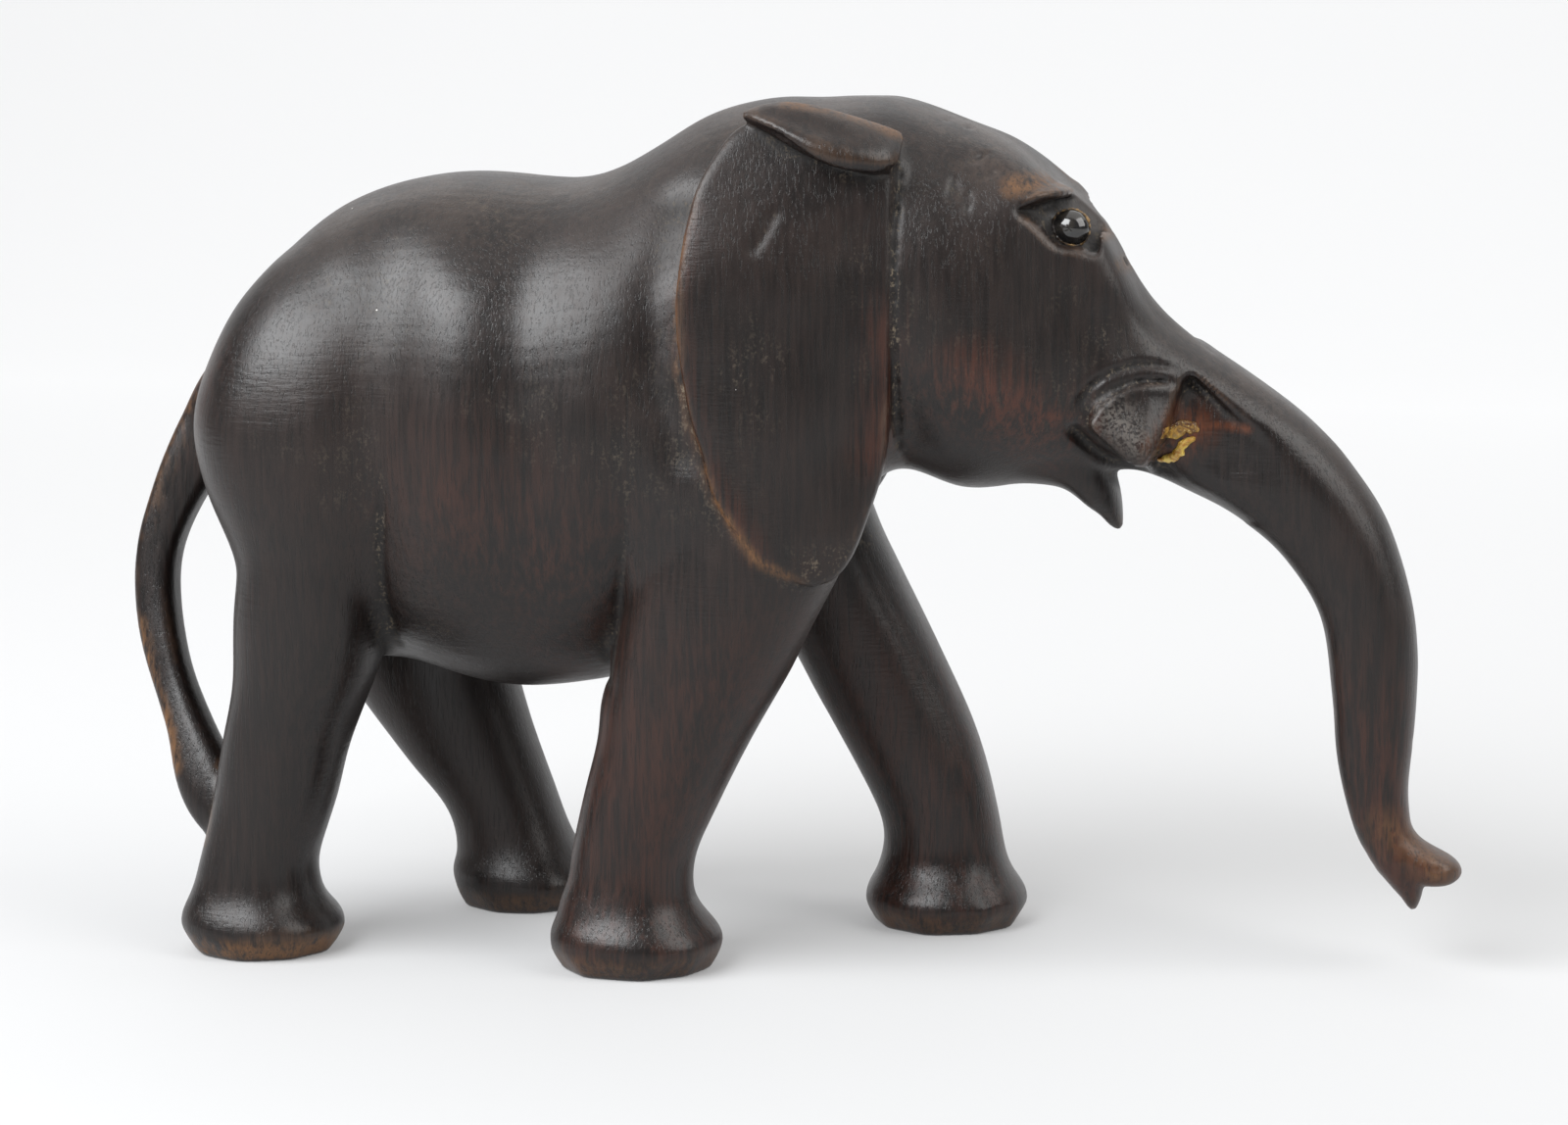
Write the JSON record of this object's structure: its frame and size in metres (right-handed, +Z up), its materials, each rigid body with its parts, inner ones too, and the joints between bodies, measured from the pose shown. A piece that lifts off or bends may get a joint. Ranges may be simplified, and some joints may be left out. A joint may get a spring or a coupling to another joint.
{
  "type": "carved elephant figurine",
  "caption": "Carved dark wooden elephant walking on four legs, trunk reaching down and forward, tail bowed against a hind leg, inlaid eye beads.",
  "frame": {"origin": "centre of the bounding box on the plane that the soles stand on", "axes": "+X towards the trunk tip, +Y the animal's left side, +Z up"},
  "size_m": [0.2193, 0.0734, 0.1379],
  "materials": {
    "wood": "satin oiled hardwood, nearly black with reddish brown patches",
    "bead": "glossy dark brown bead",
    "bedding": "dried resin bedding",
    "glue": "dried yellow adhesive"
  },
  "bodies": {
    "root": {"carved_body": "wood", "eye_bead_right": "bead", "eye_bead_left": "bead", "eye_bedding_right": "bedding", "eye_bedding_left": "bedding", "tusk_glue_right": "glue", "tusk_glue_left": "glue"}
  },
  "joints": []
}
